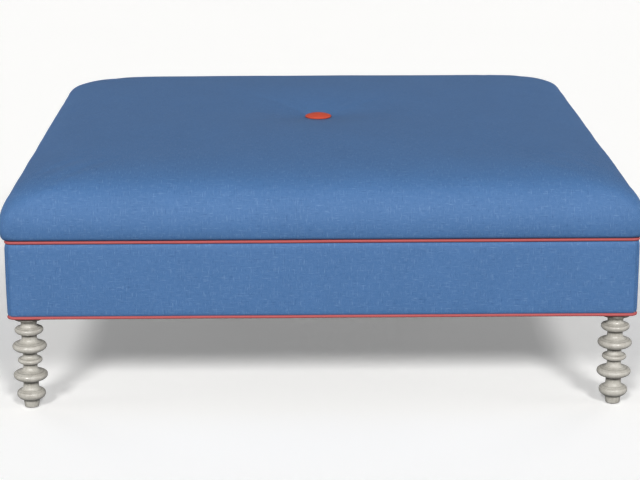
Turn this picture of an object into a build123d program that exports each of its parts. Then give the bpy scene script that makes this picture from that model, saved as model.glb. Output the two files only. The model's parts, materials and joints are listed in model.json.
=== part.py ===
"""A large square upholstered ottoman on four turned legs, in millimetres.

It is built as an upholsterer builds one: a hardwood box frame on corner posts with a centre rail,
zigzag springs in nailed clips, a burlap deck, a foam core in batting, a pulled cover with one button in
the middle, an apron of four sewn panels between two welts, and a dust cover underneath.
+Z is up, the front faces -Y, and the origin is on the floor under the middle of the ottoman.
"""

import math
import os

from build123d import *

# Overall sizes
width = 1220.0  # left to right, over the apron fabric
depth = 1220.0  # front to back, over the apron fabric
leg_height = 195.0  # floor to the underside of the frame
apron_height = 147.0  # underside of the frame to the middle of the upper welt
roll_height = 118.0  # middle of the upper welt to the top of the cushion's rolled edge
crown_rise = 21.0  # how far the cushion's crown stands above its rolled edge
tuft_depth = 16.5  # how far the button pulls the cover down below the crown
apron_corner = 15.0  # radius of the apron's corners, over the fabric

# Clearances
clearance = 0.3  # between soft layers, and round what lies in them
fit = 0.1  # dowels, nails, bolts and wires in their holes
overrun = 6.0  # how far cutting shapes run past what they cut

# Soft layers
fabric = 1.5
batting_thickness = 12.0
burlap = 1.5
dust_cloth = 0.7
tack_strip_thickness = 1.5
welt_radius = 3.2
welt_wall = 0.8
welt_flange = 1.0
welt_flange_width = 18.0
apron_return_width = 26.0  # how far the apron turns under the frame

# Wooden frame
rail_thickness = 25.0
rail_lip = 15.0  # how far the rails stand above the middle of the upper welt
post_size = 60.0
centre_rail_height = 110.0
housing_depth = 8.0  # of the side rails' housings for the centre rail
dowel_radius = 5.0
dowel_length = 50.0
dowel_height_shares = (0.2, 0.5, 0.8)  # up the rails

# Layers at the upper welt, from the frame out: the cover's hem, the welt's flange, the tack strip and
# the apron. The felt behind the rest of the apron is as thick as what lies behind it at the top.
wrap = 2 * fabric + welt_flange + tack_strip_thickness + 4 * clearance
felt = wrap - fabric - 2 * clearance
hem_in = clearance  # how far each layer's inner face stands off the frame
flange_in = hem_in + fabric + clearance
strip_in = flange_in + welt_flange + clearance
welt_off = flange_in + welt_radius  # from the frame's face to the middle of both welts

frame_x = width / 2 - wrap
frame_y = depth / 2 - wrap
frame_corner = apron_corner - wrap
frame_bottom = leg_height
rail_height = apron_height + rail_lip
frame_top = frame_bottom + rail_height
centre_rail_width = 2 * rail_thickness
inner_x = frame_x - rail_thickness
inner_y = frame_y - rail_thickness
rail_x = frame_x - rail_thickness / 2
rail_y = frame_y - rail_thickness / 2
post_x = frame_x - post_size / 2
post_y = frame_y - post_size / 2

welt_level = frame_bottom + apron_height
hem_bottom = welt_level - welt_flange_width
apron_top = welt_level - welt_radius - clearance
apron_bottom = frame_bottom - clearance - fabric
lower_welt_top = apron_bottom - clearance
lower_welt_level = lower_welt_top - welt_radius
dust_cover_bottom = lower_welt_top - welt_flange - clearance - dust_cloth

corner_names = {(-1, -1): "front_left", (1, -1): "front_right", (-1, 1): "back_left", (1, 1): "back_right"}
corners = {name: (x * post_x, y * post_y) for (x, y), name in corner_names.items()}

os.makedirs("parts", exist_ok=True)


def save(part, name):
    """Labels a finished piece and writes its file."""
    part.label = name
    export_step(part, f"parts/{name}.step")


def frame_outline(out, mode=Mode.ADD):
    """The frame's outline from above, moved out by a distance, on the sketch that is open."""
    return RectangleRounded(2 * (frame_x + out), 2 * (frame_y + out), frame_corner + out, mode=mode)


# Turned legs
leg_radius = 33.5  # of the widest beads
foot_radius_share = 0.42
foot_top_share = 0.478
collar_radius_share = 0.85
collar_level_share = 0.93
# Each bead's radius, the height of that radius, of its underside and of the waist above it, and the
# radius of that waist. Heights are shares of the leg's height, and radii of its radius.
bead_shares = [
    (0.836, 0.144, 0.090, 0.241, 0.450),
    (1.000, 0.340, 0.287, 0.436, 0.412),
    (0.716, 0.497, 0.464, 0.554, 0.415),
    (1.000, 0.642, 0.589, 0.738, 0.448),
    (0.836, 0.815, 0.770, 0.880, 0.457),
]
bead_pull_shares = (0.62, 0.80)  # how far the ends of a bead's upper curve stay upright
collar_radius = leg_radius * collar_radius_share
collar_room = 1.0  # between a leg's collar and the cloth cut round it

# Leg fixings
bolt_radius = 4.0
bolt_in_leg = 40.0
bolt_in_post = 30.0
bolt_room = 4.0  # the depth of the holes past the bolts' ends
insert_wall = 2.0
insert_length = 16.0
insert_flange_width = 3.0
insert_flange = 1.5
insert_radius = bolt_radius + fit + insert_wall
insert_flange_radius = insert_radius + insert_flange_width

# Nylon glides under the feet
glide_radius = 10.0
glide_thickness = 3.0
glide_proud = 1.5  # how far they lift the feet off the floor
glide_pin_radius = 1.2
glide_pin_length = 16.0


def leg_outline():
    """Draws half of a leg's outline on the open plane, from the foot up to the frame."""
    foot_radius = leg_radius * foot_radius_share
    foot_top = leg_radius * foot_top_share
    first_underside = leg_height * bead_shares[0][2]
    foot = Polyline((0, glide_proud), (foot_radius, glide_proud), (foot_top, first_underside))
    end = foot @ 1
    for radius_share, level_share, underside_share, waist_share, waist_radius_share in bead_shares:
        radius, waist_radius = leg_radius * radius_share, leg_radius * waist_radius_share
        level, underside, waist = (leg_height * s for s in (level_share, underside_share, waist_share))
        if end.Y < underside:
            end = Line(end, (end.X, underside)) @ 1
        low_curve = EllipticalCenterArc((end.X, level), radius - end.X, level - underside, -90, arc_size=90)
        low_pull, high_pull = (share * (waist - level) for share in bead_pull_shares)
        high_curve = Bezier(
            low_curve @ 1, (radius, level + low_pull), (waist_radius, waist - high_pull), (waist_radius, waist)
        )
        end = high_curve @ 1
    collar_level = leg_height * collar_level_share
    cove = EllipticalCenterArc(
        (collar_radius, end.Y), collar_radius - end.X, collar_level - end.Y, 180, arc_size=-90
    )
    top = Polyline(cove @ 1, (collar_radius, leg_height), (0, leg_height))
    Line(top @ 1, foot @ 0)


def make_legs():
    for name, (x, y) in corners.items():
        with BuildPart() as leg:
            with BuildSketch(Plane.XZ):
                with BuildLine():
                    leg_outline()
                make_face()
            revolve(axis=Axis.Z)
            with BuildSketch(Plane.XY.offset(leg_height)):
                Circle(bolt_radius + fit)
            extrude(amount=-(bolt_in_leg + bolt_room), mode=Mode.SUBTRACT)
            with BuildSketch():
                Circle(glide_radius + fit)
            extrude(amount=glide_thickness + fit, mode=Mode.SUBTRACT)
            with BuildSketch():
                Circle(glide_pin_radius + fit)
            extrude(amount=glide_thickness + glide_pin_length + clearance, mode=Mode.SUBTRACT)
        save(leg.part.moved(Location((x, y, 0))), f"leg_{name}")


def make_leg_bolts():
    """Hanger bolts: the lower end is in the leg, the upper end in the post's threaded insert."""
    with BuildPart() as bolts:
        with BuildSketch(Plane.XY.offset(leg_height - bolt_in_leg)):
            with Locations(*corners.values()):
                Circle(bolt_radius)
        extrude(amount=bolt_in_leg + bolt_in_post)
        chamfer(bolts.edges().filter_by(GeomType.CIRCLE), bolt_radius / 4)
    save(bolts.part, "leg_bolts")


def make_leg_inserts():
    """Flanged threaded inserts in the undersides of the posts."""
    with BuildPart() as inserts:
        with BuildSketch(Plane.XY.offset(frame_bottom + fit)):
            with Locations(*corners.values()):
                Circle(insert_flange_radius)
        extrude(amount=insert_flange)
        with BuildSketch(Plane.XY.offset(frame_bottom + fit)):
            with Locations(*corners.values()):
                Circle(insert_radius)
        extrude(amount=insert_length)
        with BuildSketch(Plane.XY.offset(frame_bottom)):
            with Locations(*corners.values()):
                Circle(bolt_radius + fit)
        extrude(amount=insert_length + overrun, mode=Mode.SUBTRACT)
    save(inserts.part, "leg_inserts")


def make_glides():
    for name, (x, y) in corners.items():
        with BuildPart() as glide:
            with BuildSketch():
                Circle(glide_radius)
            extrude(amount=glide_thickness)
            chamfer(glide.faces().sort_by(Axis.Z)[0].edges(), glide_proud / 2)
            with BuildSketch(Plane.XY.offset(glide_thickness)):
                Circle(glide_pin_radius)
            extrude(amount=glide_pin_length)
        save(glide.part.moved(Location((x, y, 0))), f"glide_{name}")


# Zigzag springs: each lane has a front and a back spring, whose inner ends are clipped to the centre rail
lane_count = 10
wire_radius = 1.9
spring_bar = 24.0  # the straight wire between two bends
spring_pitch = 22.6  # from each bar to the next, nearly, because the bars fill the spring's length
spring_crown = 16.0  # how far the middle of a spring stands above its ends
stay_wire_radius = 1.2
stay_wire_shares = (0.34, 0.66)  # along each spring
clip_plate = 1.2
clip_seat = 4.0  # from the inner edge of a rail to the wire above it
clip_length_share = 0.86  # of the room on the rail past the wire
nail_radius = 1.25
nail_head_radius = 3.0
nail_head = 1.0
nail_length = 22.0
nail_share = 0.62  # along the clip, from the wire

clip_width = spring_bar - 2 * wire_radius
clip_length = (rail_thickness - clip_seat) * clip_length_share
clip_inner = wire_radius + clearance
clip_outer = clip_inner + clip_plate
clip_fall = 2 * (clip_outer - clip_plate) / clip_length  # slope of the strap over the clip
nail_out = clip_length * nail_share
nail_level = frame_top + 2 * clip_outer - clip_fall * (nail_out - nail_head_radius) + fit
nail_hole_depth = nail_length - (nail_level - frame_top) + clearance
bar_level = frame_top + clip_outer
spring_outer = inner_y + clip_seat
spring_inner = centre_rail_width / 2 - clip_seat
spring_loops = round((spring_outer - spring_inner) / spring_pitch)
spring_bend = (spring_outer - spring_inner) / spring_loops / 2
spring_half_width = spring_bar / 2 + spring_bend + wire_radius
stay_wire_up = wire_radius + clearance + stay_wire_radius
lane_pitch = 2 * inner_x / (lane_count + 0.5)
lanes = [(i - (lane_count - 1) / 2) * lane_pitch for i in range(lane_count)]
lane_edge = lanes[-1] + spring_half_width


def spring_point(share):
    """A point on a back spring's bowed middle line, from its outer end, as y and z."""
    y = spring_outer + (spring_inner - spring_outer) * share
    return y, bar_level + spring_crown * (1 - (2 * share - 1) ** 2)


def make_springs():
    bars = [spring_point(i / spring_loops) for i in range(spring_loops + 1)]
    gap = min(math.dist(a, b) for a, b in zip(bars, bars[1:])) - 2 * wire_radius
    print(f"springs: {spring_loops} bends each, least gap between their bars {gap:.1f} mm")
    for number, x in enumerate(lanes, start=1):
        with BuildPart() as lane:
            with BuildLine() as path:
                side = 1
                for (y, z), (next_y, next_z) in zip(bars, bars[1:]):
                    end = x + side * spring_bar / 2
                    bend = math.dist((y, z), (next_y, next_z)) / 2
                    Line((2 * x - end, y, z), (end, y, z))
                    ThreePointArc(
                        (end, y, z),
                        (end + side * bend, (y + next_y) / 2, (z + next_z) / 2),
                        (end, next_y, next_z),
                    )
                    side = -side
                Line((x - side * spring_bar / 2, *bars[-1]), (x + side * spring_bar / 2, *bars[-1]))
            with BuildSketch(Plane((x - spring_bar / 2, *bars[0]), z_dir=(1, 0, 0))):
                Circle(wire_radius)
            sweep(path=path.wire())
            mirror(about=Plane.XZ)
        save(lane.part, f"seat_spring_{number:02d}")


def clip_places():
    """The clips of each row: where its wire lies over the rail, turned so that the clip's plate, along
    +Y in its own frame, runs away from the spring."""
    return {
        "front": [Location((x, -spring_outer, frame_top), (0, 0, 180)) for x in lanes],
        "centre": [Location((x, -spring_inner, frame_top)) for x in lanes]
        + [Location((x, spring_inner, frame_top), (0, 0, 180)) for x in lanes],
        "back": [Location((x, spring_outer, frame_top)) for x in lanes],
    }


def nail_points(row):
    """Where the nails of one row go into its rail, as x and y."""
    points = [(place * Location((0, nail_out, 0))).position for place in clip_places()[row]]
    return [(point.X, point.Y) for point in points]


def make_clips():
    """Each clip curls round the wire, and its strap comes down to the end of its plate."""
    with BuildPart() as clip:
        with BuildSketch(Plane.YZ.offset(-clip_width / 2)):
            with BuildLine():
                Polyline(
                    (0, 0), (clip_length, 0), (clip_length, 2 * clip_plate), (0, 2 * clip_outer), close=True
                )
            make_face()
            with BuildLine():
                Polyline(
                    (0, clip_plate),
                    (clip_length - clip_plate, clip_plate),
                    (0, 2 * clip_outer - clip_plate),
                    close=True,
                )
            make_face(mode=Mode.SUBTRACT)
            with Locations((0, clip_outer)):
                Circle(clip_outer)
                Circle(clip_inner, mode=Mode.SUBTRACT)
        extrude(amount=clip_width)
        with BuildSketch():
            with Locations((0, nail_out)):
                Circle(nail_radius + fit)
        extrude(amount=2 * clip_outer, mode=Mode.SUBTRACT)
    for row, places in clip_places().items():
        with BuildPart() as clips:
            with Locations(*places):
                add(clip.part)
        save(clips.part, f"spring_clips_{row}")


def make_clip_nails():
    points = [point for row in clip_places() for point in nail_points(row)]
    with BuildPart() as nails:
        with BuildSketch(Plane.XY.offset(nail_level)):
            with Locations(*points):
                Circle(nail_head_radius)
        extrude(amount=nail_head)
        with BuildSketch(Plane.XY.offset(nail_level)):
            with Locations(*points):
                Circle(nail_radius)
        extrude(amount=-nail_length)
    save(nails.part, "clip_nails")


def make_stay_wires():
    """Straight wires laid across all the springs, which make the lanes share the load."""
    with BuildPart() as wires:
        with BuildSketch(Plane.YZ.offset(-lane_edge)):
            for y, z in map(spring_point, stay_wire_shares):
                with Locations((-y, z + stay_wire_up), (y, z + stay_wire_up)):
                    Circle(stay_wire_radius)
        extrude(amount=2 * lane_edge)
    save(wires.part, "stay_wires")


# Deck: burlap over the springs, its edges on the rails and the clips
deck_margin = 3.0  # from the deck's edge out to the frame's face

deck_low = frame_top + clearance  # its underside on the side rails, on the clips and over the springs
deck_on_clips = frame_top + 2 * clip_outer + clearance
deck_high = bar_level + spring_crown + stay_wire_up + stay_wire_radius + 2 * clearance


def deck_space(lift, grow):
    """The room under the deck, raised by a lift and with its edges moved out. It is low over the side
    rails, and over the springs it vaults from the clips on one rail to the clips on the next."""
    edge_x, edge_y = frame_x - deck_margin + grow, frame_y - deck_margin + grow
    base, low, on_clips, high = frame_top - grow, deck_low + lift, deck_on_clips + lift, deck_high + lift
    near, far = spring_inner + clip_outer, spring_outer - clip_outer
    middle = (near + far) / 2
    with BuildPart() as space:
        with BuildSketch(Plane.YZ.offset(-edge_x)):
            with BuildLine():
                Line((-near, on_clips), (near, on_clips))
                ThreePointArc((near, on_clips), (middle, high), (far, on_clips))
                Polyline(
                    (far, on_clips),
                    (edge_y, on_clips),
                    (edge_y, base),
                    (-edge_y, base),
                    (-edge_y, on_clips),
                    (-far, on_clips),
                )
                ThreePointArc((-far, on_clips), (-middle, high), (-near, on_clips))
            make_face()
        extrude(amount=2 * edge_x)
        with BuildSketch(Plane.XZ.offset(-edge_y)):
            with BuildLine():
                Polyline(
                    (-edge_x, base),
                    (-edge_x, low),
                    (-inner_x, low),
                    (-lane_edge - clearance, high),
                    (lane_edge + clearance, high),
                    (inner_x, low),
                    (edge_x, low),
                    (edge_x, base),
                    close=True,
                )
            make_face()
        extrude(amount=2 * edge_y, mode=Mode.INTERSECT)
    return space.part


def make_deck():
    over, under = deck_space(burlap, 0), deck_space(0, clearance)
    with BuildPart() as deck:
        add(over)
        add(under, mode=Mode.SUBTRACT)
        with BuildSketch(Plane.XY.offset(frame_top)):
            Circle(tuft_hole)
        extrude(amount=deck_high + burlap - frame_top, mode=Mode.SUBTRACT)
    save(deck.part, "spring_deck")


# Staples: through the dust cover, the lower welt's flange and the apron's turned-under edge into the rails
staple_wire_radius = 0.5
staple_crown = 10.0
staple_in_rail = 9.0
staples_per_side = 7
staple_span_share = 0.8  # of the frame's half size, from the middle of a side to its last staple

staple_level = dust_cover_bottom - fit - staple_wire_radius
staple_leg = frame_bottom + staple_in_rail - staple_level
staple_off = (welt_flange_width - welt_off) / 2  # in from the frame's face, to mid-way across the flange


def staple_frames():
    """A plane for each staple: its origin in the middle of the crown, X along the crown and Z up."""
    frames = []
    for i in range(staples_per_side):
        share = (2 * i / (staples_per_side - 1) - 1) * staple_span_share
        for side in (-1, 1):
            at_end = (share * frame_x, side * (frame_y - staple_off), staple_level)
            at_side = (side * (frame_x - staple_off), share * frame_y, staple_level)
            frames.append(Plane(at_end, x_dir=(1, 0, 0)))
            frames.append(Plane(at_side, x_dir=(0, 1, 0)))
    return frames


def staple_legs(radius, extra):
    """All the staples' legs as round bars, which run past both ends by the extra length."""
    with BuildPart() as legs:
        for frame in staple_frames():
            with BuildSketch(frame.offset(-extra)):
                with Locations((-staple_crown / 2, 0), (staple_crown / 2, 0)):
                    Circle(radius)
        extrude(amount=staple_leg + 2 * extra)
    return legs.part


def staple_holes():
    """What the staples' legs need cut from the pieces that they go through."""
    return staple_legs(staple_wire_radius + fit, clearance)


def make_staples():
    legs = staple_legs(staple_wire_radius, 0)
    with BuildPart() as staples:
        add(legs)
        for frame in staple_frames():
            crown_end = frame.origin - frame.x_dir * (staple_crown / 2 + staple_wire_radius)
            with BuildSketch(Plane(crown_end, z_dir=frame.x_dir)):
                Circle(staple_wire_radius)
        extrude(amount=staple_crown + 2 * staple_wire_radius)
    save(staples.part, "staples")


# Wooden frame
def dowel_places():
    """The middle of every dowel, on a joint between a rail and a post, with the turn that lays it down."""
    places = []
    for x, y in corner_names:
        for share in dowel_height_shares:
            z = frame_bottom + share * rail_height
            places.append(Location((x * (frame_x - post_size), y * rail_y, z), (0, 90, 0)))
            places.append(Location((x * rail_x, y * (frame_y - post_size), z), (90, 0, 0)))
    return places


def make_dowels():
    with BuildPart() as dowels:
        with Locations(*dowel_places()):
            Cylinder(dowel_radius, dowel_length)
    save(dowels.part, "frame_dowels")


def make_posts():
    for (side_x, side_y), name in corner_names.items():
        near = [p for p in dowel_places() if p.position.X * side_x > 0 and p.position.Y * side_y > 0]
        with BuildPart() as post:
            with BuildSketch(Plane.XY.offset(frame_bottom)):
                frame_outline(0)
                with Locations(corners[name]):
                    Rectangle(post_size, post_size, mode=Mode.INTERSECT)
            extrude(amount=rail_height)
            with Locations(*near):
                Cylinder(dowel_radius + fit, dowel_length + 2 * fit, mode=Mode.SUBTRACT)
            for radius, height in (
                (insert_flange_radius + fit, insert_flange + 2 * fit),
                (insert_radius + fit, insert_length + 2 * fit),
                (bolt_radius + fit, bolt_in_post + bolt_room),
            ):
                with BuildSketch(Plane.XY.offset(frame_bottom)):
                    with Locations(corners[name]):
                        Circle(radius)
                extrude(amount=height, mode=Mode.SUBTRACT)
        save(post.part, f"corner_post_{name}")


def make_front_and_back_rails():
    holes = staple_holes()
    for row, side in (("front", -1), ("back", 1)):
        near = [p for p in dowel_places() if abs(p.position.Y - side * rail_y) < clearance]
        with BuildPart() as rail:
            with BuildSketch(Plane.XY.offset(frame_bottom)):
                with Locations((0, side * rail_y)):
                    Rectangle(2 * (frame_x - post_size), rail_thickness)
            extrude(amount=rail_height)
            with Locations(*near):
                Cylinder(dowel_radius + fit, dowel_length + 2 * fit, mode=Mode.SUBTRACT)
            with BuildSketch(Plane.XY.offset(frame_top)):
                with Locations(*nail_points(row)):
                    Circle(nail_radius + fit)
            extrude(amount=-nail_hole_depth, mode=Mode.SUBTRACT)
            add(holes, mode=Mode.SUBTRACT)
        save(rail.part, f"{row}_rail")


def make_side_rails():
    holes = staple_holes()
    for name, side in (("left", -1), ("right", 1)):
        near = [p for p in dowel_places() if abs(p.position.X - side * rail_x) < clearance]
        with BuildPart() as rail:
            with BuildSketch(Plane.XY.offset(frame_bottom)):
                with Locations((side * rail_x, 0)):
                    Rectangle(rail_thickness, 2 * (frame_y - post_size))
            extrude(amount=rail_height)
            with Locations(*near):
                Cylinder(dowel_radius + fit, dowel_length + 2 * fit, mode=Mode.SUBTRACT)
            with BuildSketch(Plane.XY.offset(frame_top)):
                with Locations((side * inner_x, 0)):
                    Rectangle(2 * (housing_depth + fit), centre_rail_width + 2 * fit)
            extrude(amount=-centre_rail_height, mode=Mode.SUBTRACT)
            add(holes, mode=Mode.SUBTRACT)
        save(rail.part, f"{name}_rail")


def make_centre_rail():
    """The rail that holds the inner ends of the springs, and that the button's twine passes through."""
    with BuildPart() as rail:
        with BuildSketch(Plane.XY.offset(frame_top)):
            Rectangle(2 * (inner_x + housing_depth), centre_rail_width)
            Circle(tuft_hole, mode=Mode.SUBTRACT)
        extrude(amount=-centre_rail_height)
        with BuildSketch(Plane.XY.offset(frame_top)):
            with Locations(*nail_points("centre")):
                Circle(nail_radius + fit)
        extrude(amount=-nail_hole_depth, mode=Mode.SUBTRACT)
    save(rail.part, "centre_rail")


# Button, and the twine that ties it down to a toggle under the centre rail
button_radius = 28.5
button_edge = 3.5  # height of the button's upright edge
button_dome = 6.0  # how far the dome rises above the edge
button_fabric = 1.2
button_metal = 0.8
button_turn_share = 0.3  # of the radius, how far the covering is turned under
eye_wire_radius = 0.8
eye_radius = 4.0
eye_drop = 3.0
twine_radius = 0.9
knot_radius = 2.0
toggle_radius = 3.0
toggle_length = 45.0
seat_room = 1.0  # how much wider than the button its flat seat on the cover is

crown_level = welt_level + roll_height + crown_rise
seat_level = crown_level - tuft_depth
seat_radius = button_radius + seat_room
button_level = seat_level + clearance
shell_level = button_level + button_fabric + clearance
shell_radius = button_radius - button_fabric - clearance
eye_level = shell_level - eye_drop - eye_radius
twine_bend = toggle_radius + twine_radius + fit
twine_top = eye_level + eye_wire_radius + twine_radius + fit - twine_bend
toggle_level = frame_top - centre_rail_height - clearance - toggle_radius
knot_level = toggle_level - toggle_radius - clearance - knot_radius
tuft_hole = max(twine_bend + twine_radius, eye_radius + eye_wire_radius) + 2 * clearance


def dome(level, radius, edge, rise):
    """A disc with an upright edge and a domed top, its flat base at the given height."""
    top = level + edge + rise
    sphere_radius = (radius**2 + rise**2) / (2 * rise)
    mid_radius = sphere_radius * math.sin(math.asin(radius / sphere_radius) / 2)
    mid_level = top - sphere_radius + math.sqrt(sphere_radius**2 - mid_radius**2)
    with BuildPart() as disc:
        with BuildSketch(Plane.XZ):
            with BuildLine():
                Polyline((0, top), (0, level), (radius, level), (radius, level + edge))
                ThreePointArc((radius, level + edge), (mid_radius, mid_level), (0, top))
            make_face()
        revolve(axis=Axis.Z)
    return disc.part


def make_button_covering():
    outside = dome(button_level, button_radius, button_edge, button_dome)
    inside = dome(
        button_level + button_fabric,
        button_radius - button_fabric,
        button_edge - button_fabric,
        button_dome - button_fabric,
    )
    with BuildPart() as covering:
        add(outside)
        add(inside, mode=Mode.SUBTRACT)
        with BuildSketch(Plane.XY.offset(button_level)):
            Circle(button_radius * (1 - button_turn_share))
        extrude(amount=button_fabric, mode=Mode.SUBTRACT)
    save(covering.part, "button_covering")


def make_button_shell_and_back():
    edge = button_edge - button_fabric - clearance
    rise = button_dome - button_fabric - clearance
    hollow_radius = shell_radius - button_metal
    outside = dome(shell_level, shell_radius, edge, rise)
    hollow = dome(shell_level, hollow_radius, edge, rise - button_metal)
    with BuildPart() as shell:
        add(outside)
        add(hollow, mode=Mode.SUBTRACT)
    save(shell.part, "button_shell")

    with BuildPart() as back:
        with BuildSketch(Plane.XY.offset(shell_level)):
            Circle(hollow_radius - fit)
        extrude(amount=button_metal)
        with BuildLine() as eye:
            root, bottom = shell_level + button_metal / 2, shell_level - eye_drop
            down = Line((-eye_radius, 0, root), (-eye_radius, 0, bottom))
            bend = ThreePointArc(down @ 1, (0, 0, eye_level), (eye_radius, 0, bottom))
            Line(bend @ 1, (eye_radius, 0, root))
        with BuildSketch(Plane(down @ 0, z_dir=(0, 0, -1))):
            Circle(eye_wire_radius)
        sweep(path=eye.wire())
    save(back.part, "button_back")


def make_twine():
    """A loop of twine through the button's eye and round the toggle, with its knot underneath."""
    with BuildPart() as twine:
        with BuildLine() as loop:
            up = Line((0, -twine_bend, toggle_level), (0, -twine_bend, twine_top))
            over = ThreePointArc(up @ 1, (0, 0, twine_top + twine_bend), (0, twine_bend, twine_top))
            down = Line(over @ 1, (0, twine_bend, toggle_level))
            ThreePointArc(down @ 1, (0, 0, toggle_level - twine_bend), up @ 0)
        with BuildSketch(Plane(up @ 0, z_dir=(0, 0, 1))):
            Circle(twine_radius)
        sweep(path=loop.wire())
        with Locations((0, 0, knot_level)):
            Sphere(knot_radius)
    save(twine.part, "button_twine")


def make_toggle():
    with BuildPart() as toggle:
        with BuildSketch(Plane.YZ.offset(-toggle_length / 2)):
            with Locations((0, toggle_level)):
                Circle(toggle_radius)
        extrude(amount=toggle_length)
        chamfer(toggle.edges().filter_by(GeomType.CIRCLE), toggle_radius / 4)
    save(toggle.part, "twine_toggle")


# Cushion: its sides swell out over the welt, roll over at the shoulder and rise to a crown, which the
# button draws down in the middle
side_swell = 11.0  # how far the sides swell past the apron
roll_width = 64.0  # from the apron's face in to the top of the rolled edge
shoulder_corner = 135.0  # plan radius of the corners at the top of the rolled edge
tuft_radius = 110.0  # where the cover starts to fall towards the button
# Sides: share of the height, of the swell, of the roll's width, and of the growth in corner radius
side_shares = [
    (0.000, 0.00, 0.000, 0.00),
    (0.057, 0.55, 0.000, 0.04),
    (0.266, 1.00, 0.000, 0.13),
    (0.476, 0.73, 0.000, 0.23),
    (0.650, 0.00, 0.016, 0.34),
    (0.808, 0.00, 0.260, 0.49),
    (0.920, 0.00, 0.570, 0.71),
    (1.000, 0.00, 1.000, 1.00),
]
# Crown: share of the way in to the tuft, of the crown's rise, and the corner radius over the half size
crown_shares = [(0.11, 0.33, 0.40), (0.29, 0.64, 0.62), (0.54, 0.88, 0.77), (0.82, 1.00, 0.92)]
# Tuft: share of the way from the button's seat out to the tuft's rim, and of the tuft's depth
tuft_shares = [(1.00, 0.07), (0.62, 0.38), (0.30, 0.71), (0.00, 1.00)]
tuft_round_share = 0.97

cushion_bottom = welt_level + welt_radius + clearance
side_height = welt_level + roll_height - cushion_bottom
under_cover = fabric + clearance
under_batting = under_cover + batting_thickness + clearance


def cushion_rows():
    """Sections of the cover's outer face, from the welt up and in to the button's seat: half sizes along
    X and Y, corner radius and height."""
    rows = []
    for height_share, swell_share, roll_share, corner_share in side_shares:
        inset = roll_share * roll_width - swell_share * side_swell
        radius = apron_corner + corner_share * (shoulder_corner - apron_corner)
        level = cushion_bottom + height_share * side_height
        rows.append((width / 2 - inset, depth / 2 - inset, radius, level))
    shoulder_x, shoulder_y, _, shoulder_level = rows[-1]
    for way_share, rise_share, round_share in crown_shares:
        half_x = shoulder_x - way_share * (shoulder_x - tuft_radius)
        half_y = shoulder_y - way_share * (shoulder_y - tuft_radius)
        level = shoulder_level + rise_share * crown_rise
        rows.append((half_x, half_y, round_share * min(half_x, half_y), level))
    for way_share, fall_share in tuft_shares:
        radius = seat_radius + way_share * (tuft_radius - seat_radius)
        rows.append((radius, radius, tuft_round_share * radius, crown_level - fall_share * tuft_depth))
    return rows


def sunk_rows(inset):
    """The same sections moved square to the cover's face, into the cushion."""
    rows, sunk = cushion_rows(), []
    for i, (half_x, half_y, radius, level) in enumerate(rows):
        before, after = rows[max(i - 1, 0)], rows[min(i + 1, len(rows) - 1)]
        run, rise = after[0] - before[0], after[3] - before[3]
        if i == 0:
            run = 0
        if i == len(rows) - 1:
            rise = 0
        shift, lift = (turn * inset / math.hypot(run, rise) for turn in (-rise, run))
        sunk.append((half_x + shift, half_y + shift, max(radius + shift, clearance), level + lift))
    return sunk


def cushion_form(inset, bottom):
    """The cushion's form, sunk by an inset from the cover's face, above a flat bottom."""
    with BuildPart() as form:
        for half_x, half_y, radius, level in sunk_rows(inset):
            with BuildSketch(Plane.XY.offset(level)):
                RectangleRounded(2 * half_x, 2 * half_y, radius)
        loft()
        if bottom > cushion_bottom:
            split(bisect_by=Plane.XY.offset(bottom), keep=Keep.TOP)
    return form.part


def make_seat_cover():
    """The pulled cover: under the swell it tucks in over the welt, and its hem goes down the rails."""
    outside = cushion_form(0, cushion_bottom)
    inside = cushion_form(fabric, cushion_bottom + fabric)
    with BuildPart() as cover:
        add(outside)
        add(inside, mode=Mode.SUBTRACT)
        with BuildSketch(Plane.XY.offset(cushion_bottom)):
            frame_outline(hem_in)
        extrude(amount=fabric, mode=Mode.SUBTRACT)
        with BuildSketch(Plane.XY.offset(hem_bottom)):
            frame_outline(hem_in + fabric)
            frame_outline(hem_in, Mode.SUBTRACT)
        extrude(amount=cushion_bottom + fabric - hem_bottom)
        with BuildSketch(Plane.XY.offset(frame_top)):
            Circle(tuft_hole)
        extrude(amount=crown_level - frame_top, mode=Mode.SUBTRACT)
    save(cover.part, "seat_cover")


def make_batting():
    outside = cushion_form(under_cover, cushion_bottom + under_cover)
    inside = cushion_form(under_cover + batting_thickness, cushion_bottom)
    with BuildPart() as batting:
        add(outside)
        add(inside, mode=Mode.SUBTRACT)
        with BuildSketch(Plane.XY.offset(frame_top + clearance)):
            frame_outline(hem_in)
        extrude(amount=-(frame_top + clearance - cushion_bottom), mode=Mode.SUBTRACT)
        with BuildSketch(Plane.XY.offset(frame_top)):
            Circle(tuft_hole)
        extrude(amount=crown_level - frame_top, mode=Mode.SUBTRACT)
    save(batting.part, "batting")


def make_foam():
    block = cushion_form(under_batting, frame_top + clearance)
    hollow = deck_space(burlap + clearance, clearance)
    with BuildPart() as foam:
        add(block)
        add(hollow, mode=Mode.SUBTRACT)
        with BuildSketch(Plane.XY.offset(frame_top)):
            Circle(tuft_hole)
        extrude(amount=crown_level - frame_top, mode=Mode.SUBTRACT)
    save(foam.part, "foam_core")


# Apron, welts and dust cover
def collar_holes():
    """The holes that the apron's turned-under edge, the lower welt and the dust cover leave for the legs."""
    with BuildPart() as holes:
        with BuildSketch(Plane.XY.offset(dust_cover_bottom - overrun)):
            with Locations(*corners.values()):
                Circle(collar_radius + collar_room)
        extrude(amount=frame_bottom - dust_cover_bottom + overrun)
    return holes.part


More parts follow.
